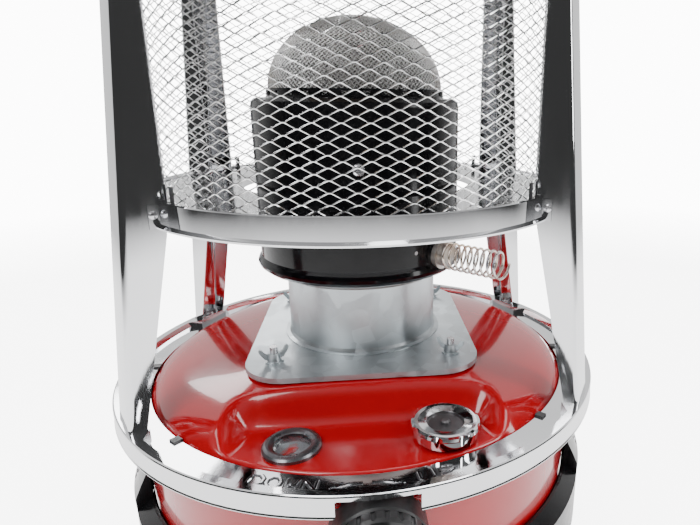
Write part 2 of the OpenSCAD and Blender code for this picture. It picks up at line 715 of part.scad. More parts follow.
module wire_grip() color([0.75, 0.72, 0.68]) at_az(grip_az) {
    n = grip_turns * grip_steps;
    m = grip_sides;
    pts = [for (i = [0 : n], p = grip_ring(i)) p];
    faces = concat(
        [for (i = [0 : n - 1], k = [0 : m - 1])
            [i * m + k, i * m + (k + 1) % m, (i + 1) * m + (k + 1) % m]],
        [for (i = [0 : n - 1], k = [0 : m - 1])
            [i * m + k, (i + 1) * m + (k + 1) % m, (i + 1) * m + k]],
        [[for (k = [m - 1 : -1 : 0]) k]],
        [[for (k = [0 : m - 1]) n * m + k]]
    );
    polyhedron(points = pts, faces = faces, convexity = 10);
}

// Stub on the drum's side that the coil is wound on
module grip_bracket() color([0.5, 0.48, 0.46]) at_az(grip_az)
    translate([drum_r - 1, 0, grip_z]) rotate([0, 90, 0]) {
        cylinder(r = grip_r - 2 * grip_wire - 0.3, h = 9, $fn = small_fn);
        cylinder(r = grip_r + 0.2, h = grip_start - drum_r - grip_wire + 0.8, $fn = small_fn);
    }

// ---- Wick drive ----

shaft_r = 3;
tunnel_r = 6;
pinion_teeth = 14;
pitch_r = 7;
pinion_y = -46;
housing_front = 165;
knob_back = housing_front + 0.5;
knob_front = 181;

// Places children on the shaft's axis at y, with their +Z pointing to the front
module on_shaft(y) rotate([0, 0, knob_az]) translate([0, y, knob_z]) rotate([90, 0, 0]) children();

module knob_shaft() color([0.7, 0.71, 0.73])
    on_shaft(-40) cylinder(r = shaft_r, h = knob_front - 48, $fn = small_fn);

module wick_knob() color([0.05, 0.05, 0.055]) on_shaft(-knob_back) difference() {
    union() {
        rotate_extrude($fn = round_fn) polygon([
            [0, 0], [knob_r - 1.2, 0], [knob_r, 1.2], [knob_r, 6], [knob_r - 1.4, 7.4],
            [knob_r - 3.4, 7.4], [knob_r - 5, 6], [13, 6], [11.6, 8], [0, 8]
        ]);
        // raised finger bar
        translate([-4.5, -knob_r + 4, 5]) cube([9, 2 * knob_r - 8, knob_front - knob_back - 5]);
    }
    translate([0, 0, -1]) cylinder(r = shaft_r, h = knob_front - knob_back - 7, $fn = small_fn);
    // pointer groove on the finger bar
    translate([-0.8, 6, knob_front - knob_back - 0.8]) cube([1.6, knob_r, 3]);
    // grip notches around the rim
    for (a = [7.5 : 15 : 352.5]) rotate([0, 0, a]) translate([knob_r + 0.9, 0, 1.5])
        cylinder(r = 1.6, h = 12, $fn = small_fn);
}

module drive_pinion() color([0.75, 0.62, 0.32]) on_shaft(pinion_y + 4)
    difference() {
        linear_extrude(8) {
            circle(r = pitch_r - 0.9, $fn = round_fn);
            for (i = [0 : pinion_teeth - 1]) rotate([0, 0, i * 360 / pinion_teeth])
                polygon([[5, -1.15], [6.1, -0.98], [7.85, -0.38], [7.85, 0.38], [6.1, 0.98], [5, 1.15]]);
        }
        translate([0, 0, -1]) cylinder(r = shaft_r, h = 10, $fn = small_fn);
    }

rack_pitch = 2 * PI * pitch_r / pinion_teeth;
carrier_z = lip_z - 58;
rack_top = lip_z - 14;

wick_r = 35;

module wick_carrier() color([0.7, 0.6, 0.35]) {
    tube(wick_r + 1.4, wick_r, carrier_z, carrier_z + 20);
    // arm from the sleeve out to the rack
    rotate([0, 0, knob_az]) translate([-14, pinion_y - 3.5, carrier_z]) cube([4.8, 15, 6]);
    // rack with teeth towards the pinion
    rotate([0, 0, knob_az]) translate([0, pinion_y + 3.5, 0]) rotate([90, 0, 0])
            linear_extrude(7) mirror([1, 0]) {
        translate([8.1, carrier_z]) square([4, rack_top - carrier_z]);
        for (i = [-6 : 4]) let (z = knob_z + (i + 0.5) * rack_pitch)
            polygon([[8.2, z - 1.1], [6.35, z - 0.45], [6.35, z + 0.45], [8.2, z + 1.1]]);
    }
}

wick_bottom_z = lip_z - 66;

module wick_sleeve() color([0.93, 0.9, 0.82]) tube(wick_r, 29.8, wick_bottom_z, seat_z - 3);

module shaft_tunnel() color([0.6, 0.62, 0.64]) difference() {
    on_shaft(-54) cylinder(r = tunnel_r, h = tank_r - 54 + 2.5, $fn = small_fn);
    on_shaft(-50) cylinder(r = tunnel_r - 1, h = 110, $fn = small_fn);
}

module shaft_gland() color([0.78, 0.66, 0.36]) difference() {
    union() {
        on_shaft(-51.5) cylinder(r = 8, h = 2.5, $fn = 6);
        on_shaft(-54) cylinder(r = tunnel_r - 1, h = 12, $fn = small_fn);
    }
    on_shaft(-45) cylinder(r = shaft_r + 0.06, h = 40, $fn = small_fn);
}

housing_r = 25.2;

// Black cup on the tank's wall that stands the knob off in front of the ring
module knob_housing() color([0.06, 0.06, 0.065]) difference() {
    on_shaft(-tank_r) rotate_extrude($fn = round_fn) polygon([
        [0, housing_front - tank_r - 2], [housing_r - 2, housing_front - tank_r - 2],
        [housing_r - 2, 2], [tunnel_r, 2], [tunnel_r, 0.01], [housing_r - 1, 0.01], [housing_r, 1],
        [housing_r, housing_front - tank_r - 1], [housing_r - 1, housing_front - tank_r],
        [0, housing_front - tank_r]
    ]);
    on_shaft(-tank_r - 10) cylinder(r = shaft_r + 0.06, h = 20, $fn = small_fn);
    // room for the tank's seam
    translate([0, 0, seam_z - tank_t - 0.4]) cylinder(r = tank_r + 4.4, h = 2 * tank_t + 0.8, $fn = round_fn);
}

// ---- Filler and cap ----

filler_r = 14.5;
cap_top_z = lip_z + 6;
cap_base_z = lip_z - 3.6;

module at_cap() translate([cap_pos[0], cap_pos[1], 0]) children();

module filler_neck() color([0.75, 0.76, 0.78]) at_cap() {
    tube(filler_r, filler_r - 1.3, shelf_z - 9, lip_z + 2.2);
    tube(filler_r + 2, filler_r - 0.2, shelf_z - tank_t - 1.2, shelf_z - tank_t - 0.15);
    // thread ridge
    translate([0, 0, lip_z + 0.4]) rotate_extrude($fn = round_fn)
        polygon([[filler_r - 0.2, -0.7], [filler_r + 0.3, 0], [filler_r - 0.2, 0.7]]);
}

module fuel_strainer() color([0.85, 0.83, 0.75]) at_cap() {
    difference() {
        union() {
            tube(12.9, 12, 84, lip_z + 2.2);
            translate([0, 0, 84]) cylinder(r = 12.9, h = 1, $fn = round_fn);
            tube(filler_r - 0.4, 12, lip_z + 2.2, lip_z + 2.8);
        }
        for (a = [0 : 45 : 315], z = [92 : 9 : 110]) rotate([0, 0, a]) translate([8, 0, z])
            rotate([0, 90, 0]) cylinder(r = 2.6, h = 8, $fn = small_fn);
    }
}

insert_z = lip_z + 3;

module cap_insert() color([0.55, 0.55, 0.57]) at_cap() {
    rotate_extrude($fn = round_fn) polygon([
        [0, insert_z + 0.1], [13.6, insert_z + 0.1], [13.6, insert_z + 1], [10.2, insert_z + 1],
        [9.6, insert_z + 0.8], [3, insert_z + 0.8], [2.6, insert_z + 2.2], [1.6, insert_z + 3],
        [0, insert_z + 3]
    ]);
}

cap_lobes = 8;

module cap_shell() color([0.85, 0.85, 0.87]) at_cap() difference() {
    rotate_extrude($fn = round_fn) polygon([
        [cap_r - 3.2, cap_base_z], [cap_r - 1.6, cap_base_z + 1], [cap_r - 1, cap_top_z - 3.4],
        [cap_r, cap_top_z - 2.2], [cap_r - 0.4, cap_top_z - 0.6], [cap_r - 2, cap_top_z],
        [cap_r - 4, cap_top_z - 0.2], [10.6, insert_z + 1.9], [10.6, insert_z + 1.3],
        [14.2, insert_z + 1.3], [15.1, insert_z + 0.6], [15.1, cap_base_z]
    ]);
    for (i = [0 : cap_lobes - 1]) rotate([0, 0, (i + 0.5) * 360 / cap_lobes])
        translate([cap_r + 4.4, 0, cap_top_z - 7]) cylinder(r = 5.8, h = 10, $fn = small_fn);
}

// ---- Fuel gauge ----

gauge_well_r = 12.6;
gauge_top_z = lip_z - 1;

module at_gauge() translate([gauge_pos[0], gauge_pos[1], 0]) children();

dial_z = shelf_z - 3.5;
bore_r = gauge_r - 6;

module gauge_housing() color([0.6, 0.61, 0.63]) at_gauge() {
    rotate_extrude($fn = round_fn) polygon([
        [gauge_well_r, shelf_z - 8], [gauge_well_r, shelf_z], [gauge_r, shelf_z],
        [gauge_r, gauge_top_z - 1.7], [gauge_r - 0.9, gauge_top_z - 0.6], [gauge_r - 2.4, gauge_top_z],
        [gauge_r - 3.6, gauge_top_z - 0.1], [bore_r + 0.8, gauge_top_z - 0.8], [bore_r, gauge_top_z - 1.4],
        [bore_r + 0.9, gauge_top_z - 1.4], [bore_r + 0.9, gauge_top_z - 2.4],
        [bore_r, gauge_top_z - 2.4], [bore_r, dial_z], [bore_r - 1, dial_z],
        [bore_r - 1, shelf_z - 7], [1.4, shelf_z - 7], [1.4, shelf_z - 8]
    ]);
}

module gauge_dial() color([0.85, 0.85, 0.83]) at_gauge()
    tube(bore_r - 0.1, 1.6, dial_z, dial_z + 0.8);

module gauge_lens() color([0.8, 0.85, 0.9, 0.4]) at_gauge()
    translate([0, 0, gauge_top_z - 2.4]) cylinder(r = bore_r + 0.9, h = 1, $fn = round_fn);

needle_z = dial_z + 1.2;
needle_rest = -45;

module gauge_needle() color([0.8, 0.1, 0.08]) at_gauge() {
    translate([0, 0, shelf_z - 16]) cylinder(r = 1, h = needle_z - shelf_z + 17.6, $fn = small_fn);
    translate([0, 0, needle_z]) rotate([0, 0, needle_rest]) {
        cylinder(r = 2.2, h = 1, $fn = small_fn);
        linear_extrude(0.7) polygon([[-1.6, 0], [-0.5, -8], [0.5, -8], [1.6, 0], [1, 3.4], [-1, 3.4]]);
    }
}

float_pivot_z = shelf_z - 24;

module float_bracket() color([0.65, 0.66, 0.68]) at_gauge() difference() {
    union() {
        translate([-5, -7, shelf_z - 9]) cube([10, 14, 1]);
        for (x = [-5, 4]) translate([x, -4, float_pivot_z - 4]) cube([1, 8, shelf_z - float_pivot_z - 4.5]);
    }
    translate([0, 0, 60]) cylinder(r = 1.4, h = 80, $fn = small_fn);
    translate([-10, 0, float_pivot_z]) rotate([0, 90, 0]) cylinder(r = 1.05, h = 20, $fn = small_fn);
}

arm_len = 52;
arm_rest = 35;
float_r = 9;

// Places children at the float's pivot with their +Z along the drooping arm
module on_arm() at_gauge() translate([0, 0, float_pivot_z]) rotate([-90 - arm_rest, 0, 0]) children();

module float_arm() color([0.7, 0.71, 0.73]) {
    on_arm() translate([-6.2, 0, 0]) rotate([0, 90, 0]) cylinder(r = 1, h = 12.4, $fn = small_fn);
    on_arm() translate([-2, 0, 0]) rotate([0, 90, 0]) cylinder(r = 2.4, h = 4, $fn = small_fn);
    on_arm() cylinder(r = 1, h = arm_len, $fn = small_fn);
}

module fuel_float() color([0.85, 0.72, 0.45])
    on_arm() translate([-11, 0, arm_len + float_r]) rotate([0, 90, 0])
        cylinder(r = float_r, h = 22, $fn = small_fn);

foot_ring();
base_tray();
side_handle_right();
side_handle_left();
handle_screws();
support_ring();
base_bolts();
tank_bowl();
tank_top();
lower_ring();
ring_clips();
post_front_right();
post_front_left();
post_rear_left();
post_rear_right();
post_foot_screws();
upper_tray();
tray_screws();
mesh_guard();
guard_clips();
top_plate();
top_screws();
heat_shield();
shield_spacers();
mount_gasket();
mount_plate();
burner_neck();
mount_studs();
wing_nuts();
wick_inner_tube();
wick_outer_tube();
air_ring();
burner_drum();
outer_flame_tube();
inner_flame_tube();
flame_spreader();
cross_pins();
mesh_dome();
drum_screws();
wire_grip();
grip_bracket();
wick_knob();
knob_shaft();
drive_pinion();
wick_carrier();
wick_sleeve();
shaft_tunnel();
shaft_gland();
knob_housing();
filler_neck();
fuel_strainer();
cap_insert();
cap_shell();
gauge_housing();
gauge_dial();
gauge_lens();
gauge_needle();
float_bracket();
float_arm();
fuel_float();
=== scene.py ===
import json
import math

import bmesh
import bpy
from mathutils import Matrix, Vector

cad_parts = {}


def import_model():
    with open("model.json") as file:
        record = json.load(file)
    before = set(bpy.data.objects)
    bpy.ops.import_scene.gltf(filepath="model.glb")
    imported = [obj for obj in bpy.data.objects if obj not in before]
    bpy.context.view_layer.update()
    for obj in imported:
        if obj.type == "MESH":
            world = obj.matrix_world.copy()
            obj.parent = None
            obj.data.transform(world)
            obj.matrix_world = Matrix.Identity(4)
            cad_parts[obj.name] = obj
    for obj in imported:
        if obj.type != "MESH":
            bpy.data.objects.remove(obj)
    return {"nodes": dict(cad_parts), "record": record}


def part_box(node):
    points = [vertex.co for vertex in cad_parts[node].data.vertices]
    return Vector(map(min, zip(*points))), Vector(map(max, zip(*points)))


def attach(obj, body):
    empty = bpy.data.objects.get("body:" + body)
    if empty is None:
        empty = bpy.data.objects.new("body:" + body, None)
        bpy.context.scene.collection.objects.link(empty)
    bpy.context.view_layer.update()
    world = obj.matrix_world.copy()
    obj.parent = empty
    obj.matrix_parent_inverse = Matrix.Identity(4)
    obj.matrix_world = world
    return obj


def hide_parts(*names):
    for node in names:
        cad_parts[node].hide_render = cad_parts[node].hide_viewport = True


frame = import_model()
TAU = 2 * math.pi
MM = 0.001


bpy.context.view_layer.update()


# ---------------------------------------------------------------- materials

class Nodes:
    """A principled material with short helpers for its procedural detail."""

    def __init__(self, name, base, metallic, rough, **sockets):
        self.mat = bpy.data.materials.new(name)
        self.mat.use_nodes = True
        self.tree = self.mat.node_tree
        self.bsdf = self.tree.nodes["Principled BSDF"]
        self.base = base
        self.put("Base Color", (*base, 1))
        self.put("Metallic", metallic)
        self.put("Roughness", rough)
        for key, value in sockets.items():
            self.put(key.replace("_", " "), value)
        self.where = self.tree.nodes.new("ShaderNodeTexCoord").outputs["Object"]
        self.height = None

    def put(self, socket, value):
        self.bsdf.inputs[socket].default_value = value

    def link(self, a, b):
        self.tree.links.new(a, b)

    def coords(self, stretch=(1, 1, 1)):
        m = self.tree.nodes.new("ShaderNodeMapping")
        m.inputs["Scale"].default_value = stretch
        self.link(self.where, m.inputs["Vector"])
        return m.outputs["Vector"]

    def noise(self, scale, detail=3, stretch=(1, 1, 1), rough=0.5):
        n = self.tree.nodes.new("ShaderNodeTexNoise")
        n.inputs["Scale"].default_value = scale
        n.inputs["Detail"].default_value = detail
        n.inputs["Roughness"].default_value = rough
        self.link(self.coords(stretch), n.inputs["Vector"])
        return n.outputs["Fac"]

    def cells(self, scale, feature="F1"):
        n = self.tree.nodes.new("ShaderNodeTexVoronoi")
        n.feature = feature
        n.inputs["Scale"].default_value = scale
        self.link(self.coords(), n.inputs["Vector"])
        return n.outputs

    def waves(self, scale, axis, distortion=0.0):
        n = self.tree.nodes.new("ShaderNodeTexWave")
        n.bands_direction = axis
        n.inputs["Scale"].default_value = scale
        n.inputs["Distortion"].default_value = distortion
        self.link(self.coords(), n.inputs["Vector"])
        return n.outputs["Fac"]

    def span(self, value, lo, hi, from_lo=0.3, from_hi=0.7):
        n = self.tree.nodes.new("ShaderNodeMapRange")
        n.inputs["From Min"].default_value = from_lo
        n.inputs["From Max"].default_value = from_hi
        n.inputs["To Min"].default_value = lo
        n.inputs["To Max"].default_value = hi
        self.link(value, n.inputs["Value"])
        return n.outputs["Result"]

    def ramp(self, value, stops):
        n = self.tree.nodes.new("ShaderNodeValToRGB")
        while len(n.color_ramp.elements) < len(stops):
            n.color_ramp.elements.new(0.5)
        for e, (at, color) in zip(n.color_ramp.elements, stops):
            e.position = at
            e.color = (*color, 1)
        self.link(value, n.inputs["Fac"])
        return n.outputs["Color"]

    def math(self, op, a, b):
        n = self.tree.nodes.new("ShaderNodeMath")
        n.operation = op
        for i, v in enumerate((a, b)):
            if isinstance(v, (int, float)):
                n.inputs[i].default_value = v
            else:
                self.link(v, n.inputs[i])
        return n.outputs[0]

    def color(self, value, stops):
        self.link(self.ramp(value, stops), self.bsdf.inputs["Base Color"])

    def tint(self, value, spread, from_lo=0.3, from_hi=0.7):
        lo = [c * (1 - spread) for c in self.base]
        hi = [min(1, c * (1 + spread)) for c in self.base]
        self.color(value, [(from_lo, lo), (from_hi, hi)])

    def rough(self, value, lo, hi, from_lo=0.3, from_hi=0.7):
        amount = self.span(value, lo, hi, from_lo, from_hi)
        self.link(amount, self.bsdf.inputs["Roughness"])

    def bump(self, value, strength, distance):
        n = self.tree.nodes.new("ShaderNodeBump")
        n.inputs["Strength"].default_value = strength
        n.inputs["Distance"].default_value = distance
        self.link(value, n.inputs["Height"])
        if self.height is not None:
            self.link(self.height, n.inputs["Normal"])
        self.height = n.outputs["Normal"]
        self.link(self.height, self.bsdf.inputs["Normal"])


def enamel(name, base, peel=0.05, dust=0.03, coat=0.6, shine=0.35):
    """Glossy paint with a little orange peel and dust."""
    n = Nodes(name, base, 0, 0.16, Coat_Weight=coat, Coat_Roughness=0.03,
              Specular_IOR_Level=shine)
    n.tint(n.noise(9, 4), 0.07)
    n.rough(n.noise(140, 4), 0.12, 0.12 + dust * 3)
    n.bump(n.noise(420, 2), peel, 0.0004)
    n.bump(n.noise(24, 2), peel * 1.6, 0.0012)
    return n.mat


def chrome(name, base=(0.78, 0.785, 0.80), scratch=0.05):
    """Plated metal with smears, hairline scratches and a slightly uneven sheet."""
    n = Nodes(name, base, 1, 0.07)
    n.tint(n.noise(14, 3), 0.03)
    smear = n.noise(60, 5, (1, 1, 0.25))
    n.rough(smear, 0.035, 0.035 + scratch * 1.6, 0.35, 0.75)
    n.bump(n.noise(700, 3, (1, 1, 0.08)), scratch, 0.0002)
    n.bump(n.noise(16, 2), 0.12, 0.0012)
    return n.mat


def steel(name, base, rough=0.32, spangle=0.0, grain=(1, 1, 0.05), spread=0.08):
    """Bare metal, with zinc spangle where asked, else drawn grain."""
    n = Nodes(name, base, 0.92, rough)
    if spangle:
        cell = n.cells(95)
        flakes = n.math("MULTIPLY", cell["Color"], 0.5)
        clouds = n.math("MULTIPLY", n.noise(40, 4), 0.5)
        n.tint(n.math("ADD", flakes, clouds), spangle)
        n.rough(cell["Color"], rough - 0.08, rough + 0.12, 0.1, 0.9)
        n.bump(cell["Distance"], 0.1, 0.0003)
    else:
        n.tint(n.noise(30, 5), spread)
        n.rough(n.noise(80, 4), rough - 0.08, rough + 0.1)
    n.bump(n.noise(520, 3, grain), 0.08, 0.0002)
    return n.mat


def heated(name, base, rough=0.4):
    """Steel with the straw and blue tints of heat."""
    n = Nodes(name, base, 0.9, rough)
    warm = (base[0] * 1.1, base[1] * 0.92, base[2] * 0.74)
    blue = (base[0] * 0.62, base[1] * 0.68, base[2] * 0.85)
    n.color(n.noise(22, 5, (1, 1, 2)), [(0.32, blue), (0.5, base), (0.68, warm)])
    n.rough(n.noise(90, 5), rough - 0.1, rough + 0.15)
    n.bump(n.noise(400, 3), 0.1, 0.0003)
    return n.mat


def dull(name, base, rough=0.6, scale=300, bump=0.2, depth=0.0004, spread=0.12):
    """Plastic, rubber, cork or printed paint with a fine grain."""
    n = Nodes(name, base, 0, rough)
    n.tint(n.noise(scale * 0.1, 5), spread)
    n.rough(n.noise(scale * 0.4, 4), rough - 0.08, rough + 0.1)
    n.bump(n.noise(scale, 4), bump, depth)
    return n.mat


def woven(name, base):
    """Cotton with crossed threads."""
    n = Nodes(name, base, 0, 0.9)
    n.tint(n.noise(60, 4), 0.14)
    thread = n.math("MULTIPLY", n.waves(180, "X"), n.waves(240, "Z", 0.4))
    n.rough(thread, 0.8, 0.98, 0, 1)
    n.bump(thread, 0.7, 0.0008)
    return n.mat


def shaded_mesh_layers(name, base):
    """The inner layers of a fine mesh: pale wires, with painted shade filling the dark openings
    between them.
    """
    n = Nodes(name, base, 0.8, 0.42)
    hole = n.cells(900, "DISTANCE_TO_EDGE")["Distance"]
    # painted shade: the openings between the wires are coloured near-black to stand for the
    # shade behind them
    opening_shade = tuple(c * 0.08 for c in base)
    n.color(hole, [(0.02, base), (0.16, opening_shade)])
    n.rough(n.noise(70, 4), 0.35, 0.6)
    n.bump(hole, 0.5, 0.0008)
    return n.mat


def clear(name):
    n = Nodes(name, (0.95, 0.97, 0.98), 0, 0.03, Transmission_Weight=1.0, IOR=1.45, Alpha=0.35)
    n.rough(n.noise(90, 4), 0.01, 0.07)
    n.bump(n.noise(30, 2), 0.03, 0.0004)
    return n.mat


MATS = {
    "rubber": dull("rubber", (0.035, 0.035, 0.036), 0.72, 420, 0.25),
    "black_base": enamel("black_base", (0.008, 0.008, 0.009), 0.08, 0.05, 0.35, 0.3),
    "zinc_screws": steel("zinc_screws", (0.72, 0.72, 0.74), 0.24),
    "galvanised": steel("galvanised", (0.56, 0.60, 0.62), 0.36, spangle=0.14, grain=(1, 1, 1)),
    "red_enamel": enamel("red_enamel", (0.46, 0.001, 0.006), 0.05, 0.02, 0.7, 0.4),
    "chrome": chrome("chrome"),
    "dark_clip": dull("dark_clip", (0.03, 0.03, 0.032), 0.4, 300, 0.1),
    "guard_wire": chrome("guard_wire", (0.82, 0.82, 0.82), 0.2),
    "heat_steel": heated("heat_steel", (0.52, 0.49, 0.46)),
    "gasket": dull("gasket", (0.09, 0.088, 0.085), 0.85, 700, 0.4),
    "black_enamel": enamel("black_enamel", (0.003, 0.003, 0.004), 0.06, 0.03, 0.12, 0.2),
    "dome_mesh": steel("dome_mesh", (0.9, 0.88, 0.87), 0.3, spread=0.3),
    "spring_steel": heated("spring_steel", (0.78, 0.73, 0.68), 0.24),
    "black_plastic": dull("black_plastic", (0.018, 0.018, 0.019), 0.38, 900, 0.12, 0.0002),
    "steel_shaft": steel("steel_shaft", (0.66, 0.67, 0.69), 0.28),
    "brass": steel("brass", (0.72, 0.52, 0.22), 0.3),
    "wick_cotton": woven("wick_cotton", (0.84, 0.78, 0.66)),
    "plated_filler": steel("plated_filler", (0.16, 0.155, 0.16), 0.36),
    "strainer_plastic": dull("strainer_plastic", (0.8, 0.77, 0.68), 0.45, 500, 0.08),
    "gauge_metal": steel("gauge_metal", (0.15, 0.155, 0.165), 0.26),
    "gauge_face": dull("gauge_face", (0.26, 0.27, 0.29), 0.4, 600, 0.05, 0.0002, 0.08),
    "gauge_glass": clear("gauge_glass"),
    "needle_red": dull("needle_red", (0.65, 0.02, 0.015), 0.3, 500, 0.05, 0.0002),
    "cork_float": dull("cork_float", (0.7, 0.52, 0.28), 0.5, 260, 0.2),
}
LINER = shaded_mesh_layers("dome_liner", (0.5, 0.485, 0.475))
MARK = dull("mark_white", (0.82, 0.82, 0.8), 0.4, 500, 0.05, 0.0002, 0.05)
# painted shade: the dark strip laid round the raised ring marks
EMBOSS_SHADE = dull("mark_edge_shade", (0.03, 0.03, 0.033), 0.45, 500, 0.05, 0.0002, 0.1)

slots = {s["node"]: s["material_slot"] for s in frame["record"]["subparts"]}
body_of = {}
for body, names in frame["record"]["behaviour"]["bodies"].items():
    for node in names:
        body_of[node] = body
for node, obj in frame["nodes"].items():
    obj.data.materials.clear()
    obj.data.materials.append(MATS[slots[node]])


# ---------------------------------------------------------------- building pieces

def build(name, verts, faces, mat, smooth=35, stands_for=()):
    """A mesh piece in millimetres; it rides the body of the CAD nodes it stands for."""
    mesh = bpy.data.meshes.new(name)
    mesh.from_pydata([[c * MM for c in v] for v in verts], [], faces)
    bm = bmesh.new()
    bm.from_mesh(mesh)
    bmesh.ops.remove_doubles(bm, verts=bm.verts, dist=1e-7)
    bmesh.ops.recalc_face_normals(bm, faces=bm.faces)
    limit = math.radians(smooth)
    for f in bm.faces:
        f.smooth = True
    for e in bm.edges:
        e.smooth = e.is_manifold and e.calc_face_angle(0) < limit
    bm.to_mesh(mesh)
    bm.free()
    mesh.materials.append(mat)
    obj = bpy.data.objects.new(name, mesh)
    bpy.context.collection.objects.link(obj)
    if stands_for:
        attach(obj, body_of[stands_for[0]])
        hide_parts(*stands_for)
    else:
        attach(obj, "stand")


def polar(az, r, z):
    """A point at an angle from the front, turning towards +X."""
    return (r * math.sin(az), -r * math.cos(az), z)


def grid_faces(rows, cols, closed_rows=False):
    """Quads between rows of vertices that each close on themselves."""
    out = []
    for i in range(rows if closed_rows else rows - 1):
        a, b = i * cols, ((i + 1) % rows) * cols
        for k in range(cols):
            n = (k + 1) % cols
            out.append([a + k, a + n, b + n, b + k])
    return out


def lathe(profile, steps=192):
    """A closed profile of (radius, height) turned about the axis."""
    verts = [polar(TAU * k / steps, r, z) for r, z in profile for k in range(steps)]
    return verts, grid_faces(len(profile), steps, closed_rows=True)


def tube(path, radius, normals, sides=8, squash=1.0, closed=False):
    """A wire along a path; normals gives the direction in which squash flattens it."""
    verts = []
    n = len(path)
    for i, p in enumerate(path):
        p = Vector(p)
        before = Vector(path[(i - 1) % n] if closed or i else path[0])
        after = Vector(path[(i + 1) % n] if closed or i < n - 1 else path[-1])
        t = (after - before).normalized()
        u = Vector(normals[i])
        u = (u - t * u.dot(t)).normalized()
        w = t.cross(u)
        for k in range(sides):
            a = TAU * k / sides
            verts.append(tuple(p + u * radius * squash * math.cos(a) + w * radius * math.sin(a)))
    faces = grid_faces(n, sides, closed_rows=closed)
    if not closed:
        faces.append(list(range(sides)))
        faces.append([(n - 1) * sides + k for k in range(sides)])
    return verts, faces


def join(parts):
    """Several (vertices, faces) pairs as one."""
    verts, faces = [], []
    for v, f in parts:
        base = len(verts)
        verts += v
        faces += [[base + i for i in face] for face in f]
    return verts, faces


def box_mm(node):
    """The lowest and highest corner of a CAD node, in millimetres."""
    lo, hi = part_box(node)
    return lo * 1000, hi * 1000


# ---------------------------------------------------------------- guard mesh

def guard():
    """The guard's open wire: zigzag strands whose peaks touch the next row's."""
    lo, hi = box_mm("mesh_guard")
    wire_r, inset = 0.4, 0.45
    count, pitch = 60, 2.86  # diamonds round the cylinder, height of a row
    half_flat = 0.09  # half of a peak's flat, as a part of a step
    peak_gap = 0.06  # half the distance between the middles of two joined peaks
    margin, tilt = 2, 0.55  # left free at the ends together; lean of the wire's flat side
    r = hi.x - inset
    step = TAU / count / 2
    rows = int((hi.z - lo.z - margin) / pitch)
    z0 = lo.z + (hi.z - lo.z - rows * pitch) / 2
    parts = []
    for i in range(rows + 1):
        path, sides = [], []
        for j in range(2 * count):
            up = 1 if (i + j) % 2 else -1
            z = z0 + i * pitch + up * (pitch / 2 - peak_gap)
            for off in (-half_flat, half_flat):
                a = (j + off) * step
                path.append(polar(a, r, z))
                sides.append(Vector(polar(a, 1, tilt * up)))
        parts.append(tube(path, wire_r, sides, sides=4, squash=0.8, closed=True))
    verts, faces = join(parts)
    build("guard_lattice", verts, faces, MATS["guard_wire"], 20, ["mesh_guard"])


# ---------------------------------------------------------------- burner

def dome():
    """Fine wire over the dome, four rings at its foot and a darker lining inside, with painted
    shade in the lining's openings.
    """
    lo, hi = box_mm("mesh_dome")
    r = hi.x
    foot = lo.z
    z0 = foot + 6  # the dome curves in above an upright band
    h = hi.z - z0
    quarter = math.pi / 2
    parts = []

    count, rows, cover = 110, 46, 0.97  # cover: how near the pole the wires come
    wire_r, inset = 0.34, 0.45
    for i in range(rows):
        t0 = i / rows * quarter * cover
        t1 = (i + 1) / rows * quarter * cover
        n = max(8, int(count * math.cos((t0 + t1) / 2) ** 0.7))
        path, out = [], []
        for j in range(2 * n):
            a = TAU * (j + 0.5 * (i % 2)) / (2 * n)
            t = t0 if j % 2 else t1
            path.append(polar(a, (r - inset) * math.cos(t), z0 + (h - inset) * math.sin(t)))
            out.append(Vector(polar(a, math.cos(t), math.sin(t))))
        parts.append(tube(path, wire_r, out, sides=3, closed=True))

    steps, wave, ring_inset, ring_wire_r = 160, 0.5, 0.5, 0.4
    first, apart = 0.6, 1.6
    for i in range(4):
        z = foot + first + apart * i
        turn = [TAU * k / steps for k in range(steps)]
        path = [polar(a, r - ring_inset, z + (wave if k % 2 else -wave))
                for k, a in enumerate(turn)]
        out = [Vector(polar(a, 1, 0)) for a in turn]
        parts.append(tube(path, ring_wire_r, out, sides=3, closed=True))
    verts, faces = join(parts)
    build("dome_lattice", verts, faces, MATS["dome_mesh"], 20, ["mesh_dome"])

    near, far, start, bends = 2.2, 2.8, 0.4, 24

    def curve(depth, order):
        return [((r - depth) * math.cos(t), z0 + (h - depth) * math.sin(t))
                for t in [quarter * k / bends for k in order]]

    profile = [(r - near, foot + start)] + curve(near, range(bends + 1))
    profile += curve(far, range(bends, -1, -1)) + [(r - far, foot + start)]
    verts, faces = lathe([(max(p, 0.01), q) for p, q in profile], 128)
    build("dome_inner", verts, faces, LINER, 30, ["mesh_dome"])


def grip():
    """The coil grip, wound about a line that leaves the drum level and outwards."""
    lo, hi = box_mm("wire_grip")
    az = math.radians(48)
    turns, per, wire = 9, 40, 0.8
    droop = 0.5
    reach = (hi.z - lo.z) / 2 - droop / 2
    radius = reach - wire
    start = (lo.x + reach * math.cos(az)) / math.sin(az) + wire * 0.4
    end = (hi.x - reach * math.cos(az)) / math.sin(az) - wire * 0.4
    top = hi.z - reach
    along = Vector(polar(az, 1, 0))
    across = Vector((-along.y, along.x, 0))
    path, out = [], []
    for i in range(turns * per + 1):
        t = i / (turns * per)
        a = TAU * i / per
        w = across * math.cos(a) + Vector((0, 0, math.sin(a)))
        middle = along * (start + (end - start) * t) + Vector((0, 0, top - droop * t))
        path.append(middle + w * radius)
        out.append(w)
    verts, faces = tube(path, wire, out, sides=10)
    build("grip_coil", verts, faces, MATS["spring_steel"], 60, ["wire_grip"])


# ---------------------------------------------------------------- tank top

